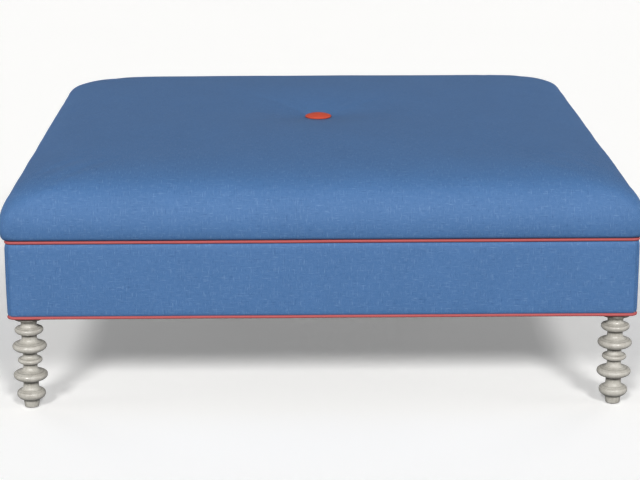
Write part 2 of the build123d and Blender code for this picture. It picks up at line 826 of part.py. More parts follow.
def make_apron():
    """Four panels, mitred at the corners, each with a lip over the tack strip and an edge turned under."""
    holes, legs = collar_holes(), staple_holes()
    half_x, half_y = width / 2, depth / 2
    reach, seam = apron_return_width + overrun, clearance / 2
    panel_ends = {
        "front": [(-1, -1, 1, 0), (1, -1, -1, 0)],
        "back": [(1, 1, -1, 0), (-1, 1, 1, 0)],
        "left": [(-1, 1, 0, -1), (-1, -1, 0, 1)],
        "right": [(1, -1, 0, 1), (1, 1, 0, -1)],
    }
    for name, ends in panel_ends.items():
        outer, inner = (
            [
                (x * (half_x + r) + along_x * seam, y * (half_y + r) + along_y * seam)
                for x, y, along_x, along_y in ends
            ]
            for r in (reach, -reach)
        )
        with BuildPart() as panel:
            with BuildSketch(Plane.XY.offset(apron_bottom)):
                frame_outline(wrap)
                frame_outline(wrap - fabric, Mode.SUBTRACT)
            extrude(amount=apron_top - apron_bottom)
            with BuildSketch(Plane.XY.offset(apron_bottom)):
                frame_outline(wrap)
                Rectangle(
                    2 * (half_x - apron_return_width), 2 * (half_y - apron_return_width), mode=Mode.SUBTRACT
                )
            extrude(amount=fabric)
            with BuildSketch(Plane.XY.offset(apron_top)):
                frame_outline(wrap)
                frame_outline(strip_in, Mode.SUBTRACT)
            extrude(amount=-fabric)
            with BuildSketch(Plane.XY.offset(apron_bottom)):
                with BuildLine():
                    Polyline(outer[0], inner[0], inner[1], outer[1], close=True)
                make_face()
            extrude(amount=apron_top - apron_bottom, mode=Mode.INTERSECT)
            add(holes, mode=Mode.SUBTRACT)
            add(legs, mode=Mode.SUBTRACT)
        save(panel.part, f"apron_{name}")


def make_apron_felt():
    with BuildPart() as layer:
        with BuildSketch(Plane.XY.offset(frame_bottom)):
            frame_outline(clearance + felt)
            frame_outline(clearance, Mode.SUBTRACT)
        extrude(amount=hem_bottom - clearance - frame_bottom)
    save(layer.part, "apron_felt")


def make_tack_strips():
    """Cardboard strips, nailed to the rails through the welt's flange, that the apron hangs from."""
    strip_middle = strip_in + tack_strip_thickness / 2
    with BuildPart() as strips:
        with BuildSketch(Plane.XY.offset(hem_bottom)):
            with Locations((0, -frame_y - strip_middle), (0, frame_y + strip_middle)):
                Rectangle(2 * (frame_x - frame_corner), tack_strip_thickness)
            with Locations((-frame_x - strip_middle, 0), (frame_x + strip_middle, 0)):
                Rectangle(tack_strip_thickness, 2 * (frame_y - frame_corner))
        extrude(amount=apron_top - fabric - clearance - hem_bottom)
    save(strips.part, "tack_strips")


def welt_tube(radius, level):
    """A round bar along the middle line of a welt."""
    half_x, half_y = frame_x + welt_off, frame_y + welt_off
    with BuildPart() as tube:
        with BuildLine() as path:
            FilletPolyline(
                *[(x * half_x, y * half_y, level) for x, y in ((-1, 1), (1, 1), (1, -1), (-1, -1))],
                radius=frame_corner + welt_off,
                close=True,
            )
        with BuildSketch(Plane(path.line @ 0, z_dir=path.line % 0)):
            Circle(radius)
        sweep(path=path.wire())
    return tube.part


def make_upper_welt():
    tube, bore = welt_tube(welt_radius, welt_level), welt_tube(welt_radius - welt_wall, welt_level)
    with BuildPart() as welt:
        add(tube)
        with BuildSketch(Plane.XY.offset(welt_level)):
            frame_outline(flange_in + welt_flange)
            frame_outline(flange_in, Mode.SUBTRACT)
        extrude(amount=-welt_flange_width)
        add(bore, mode=Mode.SUBTRACT)
    save(welt.part, "upper_welt")


def make_lower_welt():
    tube, bore = welt_tube(welt_radius, lower_welt_level), welt_tube(welt_radius - welt_wall, lower_welt_level)
    holes, legs = collar_holes(), staple_holes()
    flange_end = welt_off - welt_flange_width
    with BuildPart() as welt:
        add(tube)
        with BuildSketch(Plane.XY.offset(lower_welt_top)):
            frame_outline(welt_off)
            Rectangle(2 * (frame_x + flange_end), 2 * (frame_y + flange_end), mode=Mode.SUBTRACT)
        extrude(amount=-welt_flange)
        add(bore, mode=Mode.SUBTRACT)
        add(holes, mode=Mode.SUBTRACT)
        add(legs, mode=Mode.SUBTRACT)
    save(welt.part, "lower_welt")


def make_welt_cords():
    save(welt_tube(welt_radius - welt_wall - clearance, welt_level), "upper_welt_cord")
    save(welt_tube(welt_radius - welt_wall - clearance, lower_welt_level), "lower_welt_cord")


def make_dust_cover():
    holes, legs = collar_holes(), staple_holes()
    with BuildPart() as cover:
        with BuildSketch(Plane.XY.offset(dust_cover_bottom)):
            frame_outline(welt_off - welt_radius - clearance)
        extrude(amount=dust_cloth)
        add(holes, mode=Mode.SUBTRACT)
        add(legs, mode=Mode.SUBTRACT)
    save(cover.part, "dust_cover")


make_legs()
make_leg_bolts()
make_leg_inserts()
make_glides()
make_dowels()
make_posts()
make_front_and_back_rails()
make_side_rails()
make_centre_rail()
make_springs()
make_clips()
make_clip_nails()
make_stay_wires()
make_deck()
make_foam()
make_batting()
make_seat_cover()
make_button_covering()
make_button_shell_and_back()
make_twine()
make_toggle()
make_apron()
make_apron_felt()
make_tack_strips()
make_upper_welt()
make_lower_welt()
make_welt_cords()
make_dust_cover()
make_staples()
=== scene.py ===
import json
import math
import random

import bmesh
import bpy
import numpy as np
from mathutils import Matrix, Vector, geometry, noise


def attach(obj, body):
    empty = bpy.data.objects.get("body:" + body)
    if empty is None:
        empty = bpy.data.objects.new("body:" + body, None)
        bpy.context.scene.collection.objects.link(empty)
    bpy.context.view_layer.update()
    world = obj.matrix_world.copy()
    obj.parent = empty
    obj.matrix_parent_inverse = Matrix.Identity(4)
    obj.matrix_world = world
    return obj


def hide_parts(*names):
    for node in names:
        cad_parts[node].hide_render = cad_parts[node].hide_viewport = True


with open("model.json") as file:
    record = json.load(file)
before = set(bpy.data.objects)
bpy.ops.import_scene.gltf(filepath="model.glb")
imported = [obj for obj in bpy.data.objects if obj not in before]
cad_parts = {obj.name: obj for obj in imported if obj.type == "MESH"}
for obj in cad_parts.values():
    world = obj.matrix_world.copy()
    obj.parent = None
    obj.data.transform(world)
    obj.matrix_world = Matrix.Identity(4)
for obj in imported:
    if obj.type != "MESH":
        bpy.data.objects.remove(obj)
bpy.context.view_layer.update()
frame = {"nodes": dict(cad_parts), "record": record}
print("frame loaded")

mm = 0.001
corners = {"front_left": (-1, -1), "front_right": (1, -1), "back_left": (-1, 1), "back_right": (1, 1)}

# what the pieces share: where the frame, its cloth layers and the legs are
block = {
    "half": 610.0 * mm,  # middle to the apron's face
    "corner": 15.0 * mm,  # plan radius of the apron's corners
    "apronTop": 338.7 * mm,
    "apronBottom": 193.8 * mm,
    "upperWelt": 342.1 * mm,
    "lowerWelt": 191.8 * mm,
    "legCentre": 573.3 * mm,
}

# small tools


def newObject(name, verts, faces, material=None):
    mesh = bpy.data.meshes.new(name)
    mesh.from_pydata([tuple(v) for v in verts], [], faces)
    mesh.validate()
    mesh.polygons.foreach_set("use_smooth", [True] * len(mesh.polygons))
    obj = bpy.data.objects.new(name, mesh)
    bpy.context.scene.collection.objects.link(obj)
    if material:
        mesh.materials.append(material)
    return obj


def putVectors(obj, name, values):  # a value per point, that the cloth and paint materials read
    layer = obj.data.attributes.new(name, "FLOAT_VECTOR", "POINT")
    layer.data.foreach_set("vector", np.asarray(values, dtype=np.float32).ravel())


def faceOutward(obj, mostCorners=100):  # a face with more corners is cut up, or the subdivision stalls on it
    bm = bmesh.new()
    bm.from_mesh(obj.data)
    bmesh.ops.triangulate(bm, faces=[f for f in bm.faces if len(f.verts) > mostCorners])
    bmesh.ops.recalc_face_normals(bm, faces=bm.faces)
    bm.to_mesh(obj.data)
    bm.free()


def applyModifiers(obj):
    graph = bpy.context.evaluated_depsgraph_get()
    evaluated = obj.evaluated_get(graph)
    baked = bpy.data.meshes.new_from_object(evaluated, preserve_all_data_layers=True, depsgraph=graph)
    old = obj.data
    obj.modifiers.clear()
    obj.data = baked
    baked.name = old.name
    bpy.data.meshes.remove(old)


def subdivide(obj):
    finer = obj.modifiers.new("finer", "SUBSURF")
    finer.levels = finer.render_levels = 1


def thicken(obj, thickness, offset):  # offset -1 adds the thickness inside the face, 0 on both sides
    thick = obj.modifiers.new("thickness", "SOLIDIFY")
    thick.thickness = thickness
    thick.offset = offset
    applyModifiers(obj)


def curveThrough(knots, values, at):  # smooth values at given places between knots
    knots, values, at = np.asarray(knots), np.asarray(values, float), np.asarray(at)
    step = np.diff(knots)
    slope = np.diff(values) / step
    tangent = np.empty(len(knots))
    tangent[0], tangent[-1] = slope[0], slope[-1]
    tangent[1:-1] = (slope[:-1] * step[1:] + slope[1:] * step[:-1]) / (step[1:] + step[:-1])
    i = np.clip(np.searchsorted(knots, at, side="right") - 1, 0, len(knots) - 2)
    t = (at - knots[i]) / step[i]
    h = step[i]
    return (
        values[i] * (2 * t**3 - 3 * t**2 + 1)
        + values[i + 1] * (3 * t**2 - 2 * t**3)
        + tangent[i] * h * (t**3 - 2 * t**2 + t)
        + tangent[i + 1] * h * (t**3 - t**2)
    )


# a point on one side of a rounded square, share -1 to 1 along it: along, out, and the way it faces
def sidePoint(half, corner, share):
    straight = half - corner
    run = abs(share) * (straight + corner * math.pi / 4)
    sign = 1 if share >= 0 else -1
    if run <= straight or corner <= 0:
        return sign * run, half, 0.0, 1.0
    turn = (run - straight) / corner
    leanAlong, leanOut = math.sin(turn), math.cos(turn)
    return sign * (straight + corner * leanAlong), straight + corner * leanOut, sign * leanAlong, leanOut


def onSide(side, along, out):  # turns a point of the front side to its own side: front, right, back, left
    return ((along, -out), (out, along), (-along, out), (-out, -along))[side]


def unevenness(x, y, z, size, seed):  # smooth noise of one size, that the seed only shifts
    return noise.noise(Vector((x / size + seed, y / size - seed, z / size)))


def ramp(value, start, width):  # 0 up to the start, then rising to 1 over the width
    return min(1.0, max(0.0, (value - start) / width))


# materials


def newMaterial(name):
    material = bpy.data.materials.new(name)
    material.use_nodes = True
    tree = material.node_tree
    tree.nodes.clear()
    shader = tree.nodes.new("ShaderNodeBsdfPrincipled")
    output = tree.nodes.new("ShaderNodeOutputMaterial")
    tree.links.new(shader.outputs[0], output.inputs[0])
    return material, tree, shader


def node(tree, kind, inputs=(), **settings):
    made = tree.nodes.new("ShaderNode" + kind)
    for key, value in settings.items():
        setattr(made, key, value)
    for socket, value in dict(inputs).items():
        if isinstance(value, bpy.types.NodeSocket):
            tree.links.new(value, made.inputs[socket])
        else:
            made.inputs[socket].default_value = value
    return made


def maths(tree, operation, *values):
    return node(tree, "Math", enumerate(values), operation=operation).outputs[0]


def stretch(tree, value, low, high, toLow=0.0, toHigh=1.0):
    inputs = {"Value": value, "From Min": low, "From Max": high, "To Min": toLow, "To Max": toHigh}
    return node(tree, "MapRange", inputs, clamp=True).outputs[0]


def blendColour(tree, factor, first, second, kind="MIX"):
    made = node(tree, "Mix", {0: factor, 6: first, 7: second}, data_type="RGBA", blend_type=kind)
    return made.outputs[2]


def rgb(colour, by=1.0):
    return (colour[0] * by, colour[1] * by, colour[2] * by, 1.0)


def cloud(tree, place, scale, detail=3.0, rough=0.55):
    inputs = {"Vector": place, "Scale": scale, "Detail": detail, "Roughness": rough}
    return node(tree, "TexNoise", inputs).outputs["Fac"]


def relief(tree, height, strength, distance, under=None):  # a bump, over another one or the plain surface
    inputs = {"Height": height, "Strength": strength, "Distance": distance}
    if under is not None:
        inputs["Normal"] = under
    return node(tree, "Bump", inputs).outputs[0]


# what the woven cloths share: scales are per metre, and ranges are cut from noise that runs from 0 to 1
weave = {
    "driftScale": 260.0,
    "drift": 0.9,  # how far a thread wanders, as a share of its width
    "slubRange": (0.60, 0.74),
    "thinRange": (0.24, 0.38),
    "broadScale": 9.0,
    "fineScale": 140.0,
    "roughness": (0.52, 0.66),
    "slubHeight": 1.4,
    "threadHeight": 0.35,  # as a share of the thread's width
    "softScale": 55.0,
    "softStrength": 0.25,
    "softHeight": 0.8 * mm,
    "sheenRoughness": 0.55,
}


def wovenCloth(look):
    material, tree, shader = newMaterial(look["name"])
    place = node(tree, "Attribute", attribute_name="clothPlace").outputs["Vector"]
    if look["turn"]:
        turned = {"Vector": place, "Angle": look["turn"]}
        place = node(tree, "VectorRotate", turned, rotation_type="Z_AXIS").outputs[0]
    wander = {"Vector": place, "Scale": weave["driftScale"], "Detail": 1.0}
    drift = node(tree, "TexNoise", wander).outputs["Color"]
    drift = node(tree, "VectorMath", {0: drift, 1: (0.5, 0.5, 0.5)}, operation="SUBTRACT").outputs[0]
    reach = look["thread"] * weave["drift"]
    drift = node(tree, "VectorMath", {0: drift, "Scale": reach}, operation="SCALE").outputs[0]
    threadPlace = node(tree, "VectorMath", {0: place, 1: drift}, operation="ADD").outputs[0]
    parts = node(tree, "SeparateXYZ", {0: threadPlace})
    perMetre = math.pi / look["thread"]
    waves = [maths(tree, "SINE", maths(tree, "MULTIPLY", parts.outputs[i], perMetre)) for i in (0, 1)]
    crossing = maths(tree, "MULTIPLY", *waves)  # above zero where the warp lies on top
    pillow = maths(tree, "SQRT", maths(tree, "ABSOLUTE", crossing))
    warpOnTop = stretch(tree, crossing, -0.15, 0.15)

    slubs = []
    long, narrow = look["slubLong"], look["slubFine"]
    # along the warp, then along the weft
    for scale, offset in (((long, narrow, 1), 0.0), ((narrow, long, 1), 7.0)):
        mapping = {"Vector": place, "Location": (offset, offset, 0.0), "Scale": scale}
        slubs.append(cloud(tree, node(tree, "Mapping", mapping).outputs[0], 1.0, 2.0, 0.5))
    slub = maths(tree, "MAXIMUM", *[stretch(tree, each, *weave["slubRange"]) for each in slubs])
    thin = stretch(tree, maths(tree, "MINIMUM", *slubs), *weave["thinRange"], 1.0, 0.0)

    colour = blendColour(tree, warpOnTop, rgb(look["weft"]), rgb(look["warp"]))
    broad = stretch(tree, cloud(tree, place, weave["broadScale"], 4.0, 0.6), 0.3, 0.7)
    colour = blendColour(tree, broad, colour, rgb(look["broad"]), "MULTIPLY")
    fine = stretch(tree, cloud(tree, place, weave["fineScale"], 3.0, 0.7), 0.3, 0.7)
    colour = blendColour(tree, maths(tree, "MULTIPLY", fine, look["heather"]), colour, rgb(look["light"]))
    colour = blendColour(tree, maths(tree, "MULTIPLY", slub, look["slub"]), colour, rgb(look["light"]))
    colour = blendColour(tree, maths(tree, "MULTIPLY", thin, look["slub"]), colour, rgb(look["dark"]))
    # painted shade: the cloth is darkened in the grooves between the threads
    gap = stretch(tree, pillow, 0.0, 0.5, look["gap"], 0.0)
    colour = blendColour(tree, gap, colour, rgb(look["dark"]))
    tree.links.new(colour, shader.inputs["Base Color"])
    tree.links.new(stretch(tree, fine, 0.0, 1.0, *weave["roughness"]), shader.inputs["Roughness"])

    padding = cloud(tree, place, weave["softScale"], 3.0)
    soft = relief(tree, padding, weave["softStrength"], weave["softHeight"])
    height = maths(tree, "ADD", pillow, maths(tree, "MULTIPLY", slub, weave["slubHeight"]))
    threads = relief(tree, height, look["bump"], look["thread"] * weave["threadHeight"], soft)
    tree.links.new(threads, shader.inputs["Normal"])
    shader.inputs["Specular IOR Level"].default_value = look["gloss"]
    shader.inputs["Sheen Weight"].default_value = look["sheen"]
    shader.inputs["Sheen Roughness"].default_value = weave["sheenRoughness"]
    shader.inputs["Sheen Tint"].default_value = rgb(look["sheenTint"])
    return material


blueLinenLook = {
    "name": "blueLinen",
    "warp": (0.070, 0.182, 0.402),
    "weft": (0.050, 0.139, 0.331),
    "light": (0.180, 0.310, 0.530),
    "dark": (0.026, 0.075, 0.200),
    "broad": (0.90, 0.92, 0.93),
    "sheenTint": (1.0, 0.93, 0.85),
    "thread": 0.62 * mm,
    "turn": 0.0,
    "slubLong": 60.0,
    "slubFine": 430.0,
    "slub": 0.52,
    "heather": 0.16,
    # how dark the painted shade between the threads is
    "gap": 0.45,
    "bump": 0.7,
    "sheen": 0.02,
    "gloss": 0.34,
}
coralLook = {
    "name": "coralCotton",
    "warp": (0.600, 0.085, 0.045),
    "weft": (0.520, 0.066, 0.036),
    "light": (0.740, 0.170, 0.100),
    "dark": (0.280, 0.030, 0.016),
    "broad": (0.93, 0.92, 0.92),
    "sheenTint": (1.0, 0.72, 0.66),
    "thread": 0.40 * mm,
    "turn": math.pi / 4,
    "slubLong": 90.0,
    "slubFine": 900.0,
    "slub": 0.16,
    "heather": 0.10,
    # how dark the painted shade between the threads is
    "gap": 0.40,
    "bump": 0.6,
    "sheen": 0.02,
    "gloss": 0.20,
}
# the welts' cloth is the button's, cut on the bias and a little faded
weltLook = coralLook | {
    "name": "coralBias",
    "warp": (0.490, 0.106, 0.108),
    "weft": (0.425, 0.086, 0.088),
    "light": (0.650, 0.235, 0.235),
    "dark": (0.240, 0.038, 0.036),
}
blueLinen = wovenCloth(blueLinenLook)
coralCotton = wovenCloth(coralLook)
coralBias = wovenCloth(weltLook)

legPaintLook = {
    "paint": (0.460, 0.440, 0.395),
    "thin": (0.330, 0.310, 0.265),
    # the dark brown of the fine rings, and of the painted shade and glaze under the beads
    "glaze": (0.075, 0.068, 0.055),
    "bright": (0.560, 0.545, 0.500),
    "patchScale": 60.0,
    "streakScale": 420.0,
    "streakStretch": 0.16,  # the streaks run up the leg
    "streaks": 0.35,
    "ringScale": 900.0,
    "ringLines": (0.55, 0.15),  # how dark the fine rings are, in thin paint and in thick
    "wearScale": 170.0,
    "wear": 0.18,
    # how strongly the painted shade and glaze show, with the wear
    "dirtRange": (0.18, 0.95),
    "dirt": 0.92,
    "roughness": (0.30, 0.42),
    "reliefScale": 300.0,
    "reliefRings": 0.6,
    "reliefStrength": 0.25,
    "reliefHeight": 0.4 * mm,
    "coat": 0.45,
    "coatRoughness": 0.07,
}


def rubbedPaint(look):
    material, tree, shader = newMaterial("rubbedPaint")
    # turnPlace carries the place along the profile and, last, how much painted shade and glaze lie there
    turnPlace = node(tree, "Attribute", attribute_name="turnPlace").outputs["Vector"]
    turned = node(tree, "SeparateXYZ", {0: turnPlace})
    alongProfile, glaze = turned.outputs[0], turned.outputs[2]
    place = node(tree, "TexCoord").outputs["Object"]
    grain = node(tree, "Mapping", {"Vector": place, "Scale": (1.0, 1.0, look["streakStretch"])}).outputs[0]
    ringInputs = {"W": maths(tree, "MULTIPLY", alongProfile, look["ringScale"]), "Detail": 2.0}
    rings = node(tree, "TexNoise", ringInputs, noise_dimensions="1D").outputs["Fac"]
    patchy = stretch(tree, cloud(tree, place, look["patchScale"], 4.0, 0.65), 0.32, 0.68)
    streaks = stretch(tree, cloud(tree, grain, look["streakScale"], 3.0, 0.6), 0.45, 0.72)
    colour = blendColour(tree, patchy, rgb(look["paint"]), rgb(look["bright"]))
    colour = blendColour(tree, maths(tree, "MULTIPLY", streaks, look["streaks"]), colour, rgb(look["thin"]))
    ringDark = stretch(tree, patchy, 0.0, 1.0, *look["ringLines"])
    ringLines = maths(tree, "MULTIPLY", stretch(tree, rings, 0.56, 0.66), ringDark)
    colour = blendColour(tree, ringLines, colour, rgb(look["glaze"]))
    worn = cloud(tree, place, look["wearScale"], 3.0, 0.7)
    wear = stretch(tree, worn, 0.3, 0.7, -look["wear"], look["wear"])
    # painted shade under the beads and under the welt, with glaze, darkens the paint, varied by wear
    dirt = stretch(tree, maths(tree, "ADD", glaze, wear), *look["dirtRange"], 0.0, look["dirt"])
    colour = blendColour(tree, dirt, colour, rgb(look["glaze"]))
    tree.links.new(colour, shader.inputs["Base Color"])
    tree.links.new(stretch(tree, patchy, 0.0, 1.0, *look["roughness"]), shader.inputs["Roughness"])
    ringHeight = maths(tree, "MULTIPLY", rings, look["reliefRings"])
    height = maths(tree, "ADD", ringHeight, cloud(tree, place, look["reliefScale"], 3.0))
    bump = relief(tree, height, look["reliefStrength"], look["reliefHeight"])
    tree.links.new(bump, shader.inputs["Normal"])
    shader.inputs["Coat Weight"].default_value = look["coat"]
    shader.inputs["Coat Roughness"].default_value = look["coatRoughness"]
    return material


legPaint = rubbedPaint(legPaintLook)

# finishes of the pieces inside, and of the small rigid pieces:
# two colours, how the grain is stretched, roughness, metal, grain per metre
plainLooks = {
    "frame_wood": ((0.60, 0.42, 0.24), (0.42, 0.27, 0.14), (1.0, 1.0, 6.0), 0.62, 0.0, 38.0),
    "toggle_wood": ((0.63, 0.46, 0.28), (0.47, 0.32, 0.18), (0.2, 4.0, 4.0), 0.6, 0.0, 90.0),
    "spring_steel": ((0.19, 0.20, 0.215), (0.09, 0.085, 0.08), (1.0, 1.0, 1.0), 0.34, 1.0, 90.0),
    "clip_steel": ((0.56, 0.57, 0.58), (0.40, 0.41, 0.43), (1.0, 1.0, 1.0), 0.38, 1.0, 220.0),
    "plated_steel": ((0.60, 0.58, 0.50), (0.44, 0.43, 0.40), (1.0, 1.0, 1.0), 0.33, 1.0, 160.0),
    "glide_nylon": ((0.72, 0.70, 0.64), (0.58, 0.55, 0.49), (1.0, 1.0, 1.0), 0.48, 0.0, 120.0),
    "burlap": ((0.46, 0.33, 0.18), (0.24, 0.16, 0.08), (1.0, 1.0, 1.0), 0.95, 0.0, 260.0),
    "cotton_cord": ((0.82, 0.78, 0.66), (0.62, 0.57, 0.45), (1.0, 1.0, 1.0), 0.92, 0.0, 300.0),
    "waxed_twine": ((0.72, 0.62, 0.40), (0.48, 0.39, 0.22), (1.0, 1.0, 0.3), 0.6, 0.0, 500.0),
    "felt": ((0.66, 0.65, 0.61), (0.48, 0.47, 0.44), (1.0, 1.0, 1.0), 0.97, 0.0, 180.0),
    "tack_board": ((0.50, 0.38, 0.24), (0.36, 0.26, 0.15), (1.0, 1.0, 4.0), 0.9, 0.0, 120.0),
    "foam": ((0.86, 0.82, 0.62), (0.72, 0.66, 0.46), (1.0, 1.0, 1.0), 0.95, 0.0, 300.0),
    "batting": ((0.88, 0.88, 0.86), (0.76, 0.76, 0.75), (1.0, 1.0, 1.0), 0.96, 0.0, 120.0),
}


def plainFinish(name, first, second, grain, roughness, metal, scale):
    material, tree, shader = newMaterial(name)
    place = node(tree, "TexCoord").outputs["Object"]
    grained = node(tree, "Mapping", {"Vector": place, "Scale": grain}).outputs[0]
    broad = stretch(tree, cloud(tree, grained, scale, 4.0, 0.6), 0.32, 0.68)
    fine = stretch(tree, cloud(tree, grained, scale * 7, 3.0, 0.7), 0.3, 0.7)
    mixed = maths(tree, "ADD", maths(tree, "MULTIPLY", broad, 0.65), maths(tree, "MULTIPLY", fine, 0.35))
    tree.links.new(blendColour(tree, mixed, rgb(first), rgb(second)), shader.inputs["Base Color"])
    uneven = stretch(tree, fine, 0.0, 1.0, roughness * 0.85, min(1.0, roughness * 1.15))
    tree.links.new(uneven, shader.inputs["Roughness"])
    tree.links.new(relief(tree, mixed, 0.3, 0.5 * mm), shader.inputs["Normal"])
    shader.inputs["Metallic"].default_value = metal
    return material


plainFinishes = {name: plainFinish(name, *look) for name, look in plainLooks.items()}
slotOf = {piece["node"]: piece["material_slot"] for piece in frame["record"]["subparts"]}
for name, cadNode in frame["nodes"].items():
    if slotOf.get(name) in plainFinishes:
        cadNode.data.materials.clear()
        cadNode.data.materials.append(plainFinishes[slotOf[name]])
print("materials made")

# cushion: a pulled cover over foam, rolled at the edges, crowned, and drawn down by one button
cushion = {
    "ringStep": 7.2 * mm,
    # middle outwards: half size, corner radius, height
    "section": [
        (0.0, 0.0, 464.3), (29.5, 29.5, 464.4), (40.0, 39.0, 465.7), (62.0, 60.5, 468.5),
        (110.0, 106.0, 473.9), (180.0, 165.0, 478.6), (250.0, 205.0, 480.2), (320.0, 240.0, 478.9),
        (419.6, 258.0, 473.6), (498.0, 199.0, 467.0), (546.0, 135.0, 460.0), (574.5, 100.2, 450.8),
        (595.5, 73.8, 438.0), (611.5, 55.8, 419.9), (620.5, 42.6, 400.0), (623.5, 30.6, 376.0),
        (620.5, 21.5, 357.5), (616.5, 17.5, 349.0), (610.0, 15.0, 345.2),
    ],
    # shares of those radii, for corners stuffed fuller: front right, back right, back left, front left
    "cornerShares": (0.72, 0.74, 0.97, 0.88),
    "cornerOut": (420 * mm, 126 * mm),  # from where, and over how much, the shares come in
    "cornerUp": (350 * mm, 50 * mm),
    "insets": (8 * mm, 30 * mm),  # rings of the flat underside, over the frame
    "insetLift": 0.2 * mm,
    "sink": 0.6 * mm,  # taken off before the pressure swells it again
    "pressure": 4.0,
    "frames": 20,
    "quality": 6,
    "mass": 0.35,
    "stretchStiffness": 25,
    "shearStiffness": 12,
    "bendStiffness": 1.5,
    "keepOut": 0.22,  # how much of the swelling, the drawing in and the shifting is kept
    "keepIn": 0.20,
    "keepAlong": 0.50,
    "swellCap": 5.0 * mm,
    "buttonHold": 30 * mm,  # the button holds the cover inside this radius
    "pleats": (5, 7, 8, 11, 13),  # waves of folds round the button
    "pleatsSize": 2.4,
    "foldFrom": (27 * mm, 12 * mm),
    "foldReach": 60 * mm,
    "foldDepth": 0.8 * mm,
    "softFrom": (40 * mm, 120 * mm),
    "top": 1.1 * mm,  # broad unevenness
    "topSize": 0.23,
    "roll": 0.9 * mm,  # finer unevenness, strongest on the rolled edge
    "rollSize": 0.085,
    "rollOnTop": 0.35,
    "rollBelow": 462 * mm,
    "plainBelow": (346 * mm, 14 * mm),
    "seed": 11,
}


def cornerShare(side, share, half, level):  # some corners are stuffed fuller than others, above the welt
    chosen = cushion["cornerShares"][side if share >= 0 else side - 1]
    return 1 + (chosen - 1) * ramp(half, *cushion["cornerOut"]) * ramp(level, *cushion["cornerUp"])


def cushionRings():
    section = np.array(cushion["section"]) * mm
    knots = np.concatenate([[0], np.cumsum(np.hypot(np.diff(section[:, 0]), np.diff(section[:, 2])))])
    count = round(knots[-1] / cushion["ringStep"])
    at = np.linspace(0, knots[-1], count + 1)
    halves, radii, levels = (curveThrough(knots, section[:, i], at) for i in range(3))
    return at, np.maximum(halves, 0), np.clip(radii, 0, np.maximum(halves, 0)), levels


def cushionMesh():
    at, halves, radii, levels = cushionRings()
    last = len(at) - 1
    verts, place, ringOf = [(0.0, 0.0, levels[0])], [(0.0, 0.0, 0.0)], [0]
    for k in range(1, last + 1):
        drop = at[k] - halves[k]  # cloth that has gone down the side rather than outwards
        for side in range(4):
            for i in range(2 * k):
                share = i / k - 1
                corner = radii[k] * cornerShare(side, share, halves[k], levels[k])
                along, out, leanAlong, leanOut = sidePoint(halves[k], corner, share)
                x, y = onSide(side, along, out)
                nx, ny = onSide(side, leanAlong, leanOut)
                verts.append((x, y, levels[k]))
                place.append((x + nx * drop, y + ny * drop, 0.0))
                ringOf.append(k)
    start = [0] + [1 + 4 * k * (k - 1) for k in range(1, last + 1)]
    faces = []
    for k in range(1, last + 1):
        outer = lambda side, i: start[k] + (side * 2 * k + i) % (8 * k)
        inner = lambda side, i: 0 if k == 1 else start[k - 1] + (side * 2 * (k - 1) + i) % (8 * (k - 1))
        for side in range(4):
            faces.append((outer(side, 0), outer(side, 1), inner(side, 0), outer(side, -1)))
            for i in range(2 * (k - 1)):
                faces.append((outer(side, i + 1), outer(side, i + 2), inner(side, i + 1), inner(side, i)))
    ring = edge = list(range(start[last], start[last] + 8 * last))
    for inset in cushion["insets"]:
        previous, base = ring, len(verts)
        shrink = 1 - inset / halves[last]
        for v in edge:
            verts.append((verts[v][0] * shrink, verts[v][1] * shrink, levels[last] + cushion["insetLift"]))
            place.append(tuple(c * shrink for c in place[v]))
            ringOf.append(last + 1)
        ring = list(range(base, base + len(edge)))
        for i in range(len(edge)):
            j = (i + 1) % len(edge)
            faces.append((previous[i], previous[j], ring[j], ring[i]))
    faces.append(tuple(ring))
    return verts, faces, place, ringOf, last


def settle(obj, held, rest, normals):  # runs the cloth under pressure, then keeps part of what it did
    group = obj.vertex_groups.new(name="held")
    group.add(held, 1.0, "REPLACE")
    cloth = obj.modifiers.new("pressure", "CLOTH")
    cloth.settings.quality = cushion["quality"]
    cloth.settings.mass = cushion["mass"]
    cloth.settings.tension_stiffness = cloth.settings.compression_stiffness = cushion["stretchStiffness"]
    cloth.settings.shear_stiffness = cushion["shearStiffness"]
    cloth.settings.bending_stiffness = cushion["bendStiffness"]
    cloth.settings.use_pressure = True
    cloth.settings.uniform_pressure_force = cushion["pressure"]
    cloth.settings.vertex_group_mass = "held"
    cloth.settings.effector_weights.gravity = 0
    cloth.collision_settings.use_collision = False
    cloth.point_cache.frame_start, cloth.point_cache.frame_end = 1, cushion["frames"]
    for step in range(1, cushion["frames"] + 1):
        bpy.context.scene.frame_set(step)
    graph = bpy.context.evaluated_depsgraph_get()
    swollen = obj.evaluated_get(graph).data
    moved = np.empty(len(swollen.vertices) * 3)
    swollen.vertices.foreach_get("co", moved)
    moved = moved.reshape(-1, 3) - rest
    outward = np.sum(moved * normals, axis=1)
    shifted = moved - normals * outward[:, None]
    print("cushion moved out, mm:", round(float(outward.min()) / mm, 2), round(float(outward.max()) / mm, 2))
    outward *= np.where(outward > 0, cushion["keepOut"], cushion["keepIn"])
    moved = normals * outward[:, None] + shifted * cushion["keepAlong"]
    far = np.linalg.norm(moved, axis=1)
    cap = cushion["swellCap"]
    keep = cap * np.tanh(far / cap) / np.maximum(far, 1e-9)
    obj.modifiers.clear()
    bpy.context.scene.frame_set(1)
    return rest + moved * keep[:, None]


